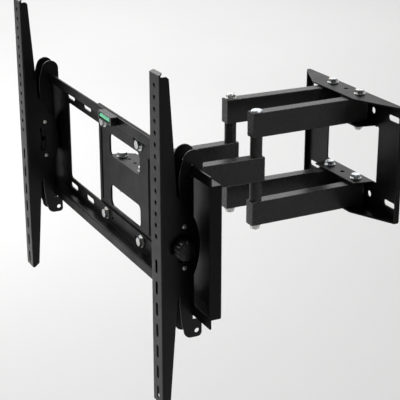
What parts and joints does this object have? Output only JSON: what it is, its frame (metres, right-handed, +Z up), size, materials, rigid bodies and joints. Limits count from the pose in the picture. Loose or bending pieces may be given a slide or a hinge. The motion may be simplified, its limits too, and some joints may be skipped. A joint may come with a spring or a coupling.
{
  "type": "full-motion tv wall mount",
  "caption": "Full-motion TV wall mount: folding double arms between a wall plate and a slotted TV plate with two sliding, tilting TV rails.",
  "frame": {"origin": "centre of the wall plate's back face", "axes": "+Z up, +X to the right seen from the TV side, -Y out from the wall to the TV"},
  "size_m": [0.65, 0.4836, 0.478],
  "materials": {
    "black_steel": "semi-gloss powder coat",
    "black_plastic": "moulded",
    "zinc_fasteners": "zinc plated",
    "nylon_washers": "plain nylon",
    "vial": "clear tinted"
  },
  "bodies": {
    "wall": {"wall_plate": "black_steel", "wall_pivot_bolts": "zinc_fasteners", "wall_pivot_nuts": "zinc_fasteners", "wall_washers_left": "nylon_washers", "wall_washers_right": "nylon_washers"},
    "head": {"head_bracket": "black_steel", "head_pivot_bolts": "zinc_fasteners", "head_pivot_nuts": "zinc_fasteners", "tv_plate": "black_steel", "tv_plate_bolts": "zinc_fasteners", "tv_plate_nuts": "zinc_fasteners", "level_body": "black_plastic", "level_vial": "vial", "head_washers_left": "nylon_washers", "head_washers_right": "nylon_washers"},
    "arm_left": {"upper_tube_left": "black_steel", "lower_tube_left": "black_steel", "wall_arm_caps_left": "black_plastic", "elbow_spacers_left": "black_steel", "elbow_bolt_left": "zinc_fasteners", "elbow_nut_left": "zinc_fasteners"},
    "forearm_left": {"forearm_tube_left": "black_steel", "forearm_caps_left": "black_plastic", "forearm_bushes_left": "nylon_washers"},
    "carriage_left": {"carriage_left": "black_steel", "clamp_stud_left": "zinc_fasteners", "friction_pads_left": "nylon_washers"},
    "rail_left": {"rail_left": "black_steel", "rail_rivets_left": "zinc_fasteners"},
    "knob_left": {"tilt_knob_left": "black_plastic"},
    "arm_right": {"upper_tube_right": "black_steel", "lower_tube_right": "black_steel", "wall_arm_caps_right": "black_plastic", "elbow_spacers_right": "black_steel", "elbow_bolt_right": "zinc_fasteners", "elbow_nut_right": "zinc_fasteners"},
    "forearm_right": {"forearm_tube_right": "black_steel", "forearm_caps_right": "black_plastic", "forearm_bushes_right": "nylon_washers"},
    "carriage_right": {"carriage_right": "black_steel", "clamp_stud_right": "zinc_fasteners", "friction_pads_right": "nylon_washers"},
    "rail_right": {"rail_right": "black_steel", "rail_rivets_right": "zinc_fasteners"},
    "knob_right": {"tilt_knob_right": "black_plastic"}
  },
  "joints": [
    {"name": "fold", "type": "hinge", "parent": "wall", "child": "arm_left", "pos_m": [-0.04, -0.019, 0], "axis": [0, 0, -1], "range_deg": [-1, 78]},
    {"name": "elbow_left", "type": "hinge", "parent": "arm_left", "child": "forearm_left", "pos_m": [-0.04337, -0.21197, 0], "axis": [0, 0, -1], "range_deg": [-157, 3]},
    {"name": "head_left", "type": "hinge", "parent": "forearm_left", "child": "head", "pos_m": [-0.04, -0.40494, 0], "axis": [0, 0, -1], "range_deg": [-2, 79]},
    {"name": "fold_right", "type": "hinge", "parent": "wall", "child": "arm_right", "pos_m": [0.04, -0.019, 0], "axis": [0, 0, 1], "range_deg": [-2, 79]},
    {"name": "elbow_right", "type": "hinge", "parent": "arm_right", "child": "forearm_right", "pos_m": [0.04337, -0.21197, 0], "axis": [0, 0, 1], "range_deg": [-157, 3]},
    {"name": "carriage_left_slide", "type": "slide", "parent": "head", "child": "carriage_left", "axis": [1, 0, 0], "range_m": [0, 0.189]},
    {"name": "carriage_right_slide", "type": "slide", "parent": "head", "child": "carriage_right", "axis": [1, 0, 0], "range_m": [-0.157, 0.03]},
    {"name": "tilt_left", "type": "hinge", "parent": "carriage_left", "child": "rail_left", "pos_m": [-0.289, -0.52764, -0.0055], "axis": [1, 0, 0], "range_deg": [-12, 12]},
    {"name": "tilt_right", "type": "hinge", "parent": "carriage_right", "child": "rail_right", "pos_m": [0.257, -0.52764, -0.0055], "axis": [1, 0, 0], "range_deg": [-12, 12]},
    {"name": "knob_left_turn", "type": "hinge", "parent": "carriage_left", "child": "knob_left", "pos_m": [-0.289, -0.45314, -0.0055], "axis": [-1, 0, 0], "range_deg": [0, 360]},
    {"name": "knob_right_turn", "type": "hinge", "parent": "carriage_right", "child": "knob_right", "pos_m": [0.257, -0.45314, -0.0055], "axis": [1, 0, 0], "range_deg": [0, 360]}
  ],
  "couplings": [
    {"joint": "elbow_left", "follows": "fold", "ratio": -2},
    {"joint": "head_left", "follows": "fold", "ratio": 1},
    {"joint": "fold_right", "follows": "fold", "ratio": 1},
    {"joint": "elbow_right", "follows": "fold", "ratio": -2}
  ]
}
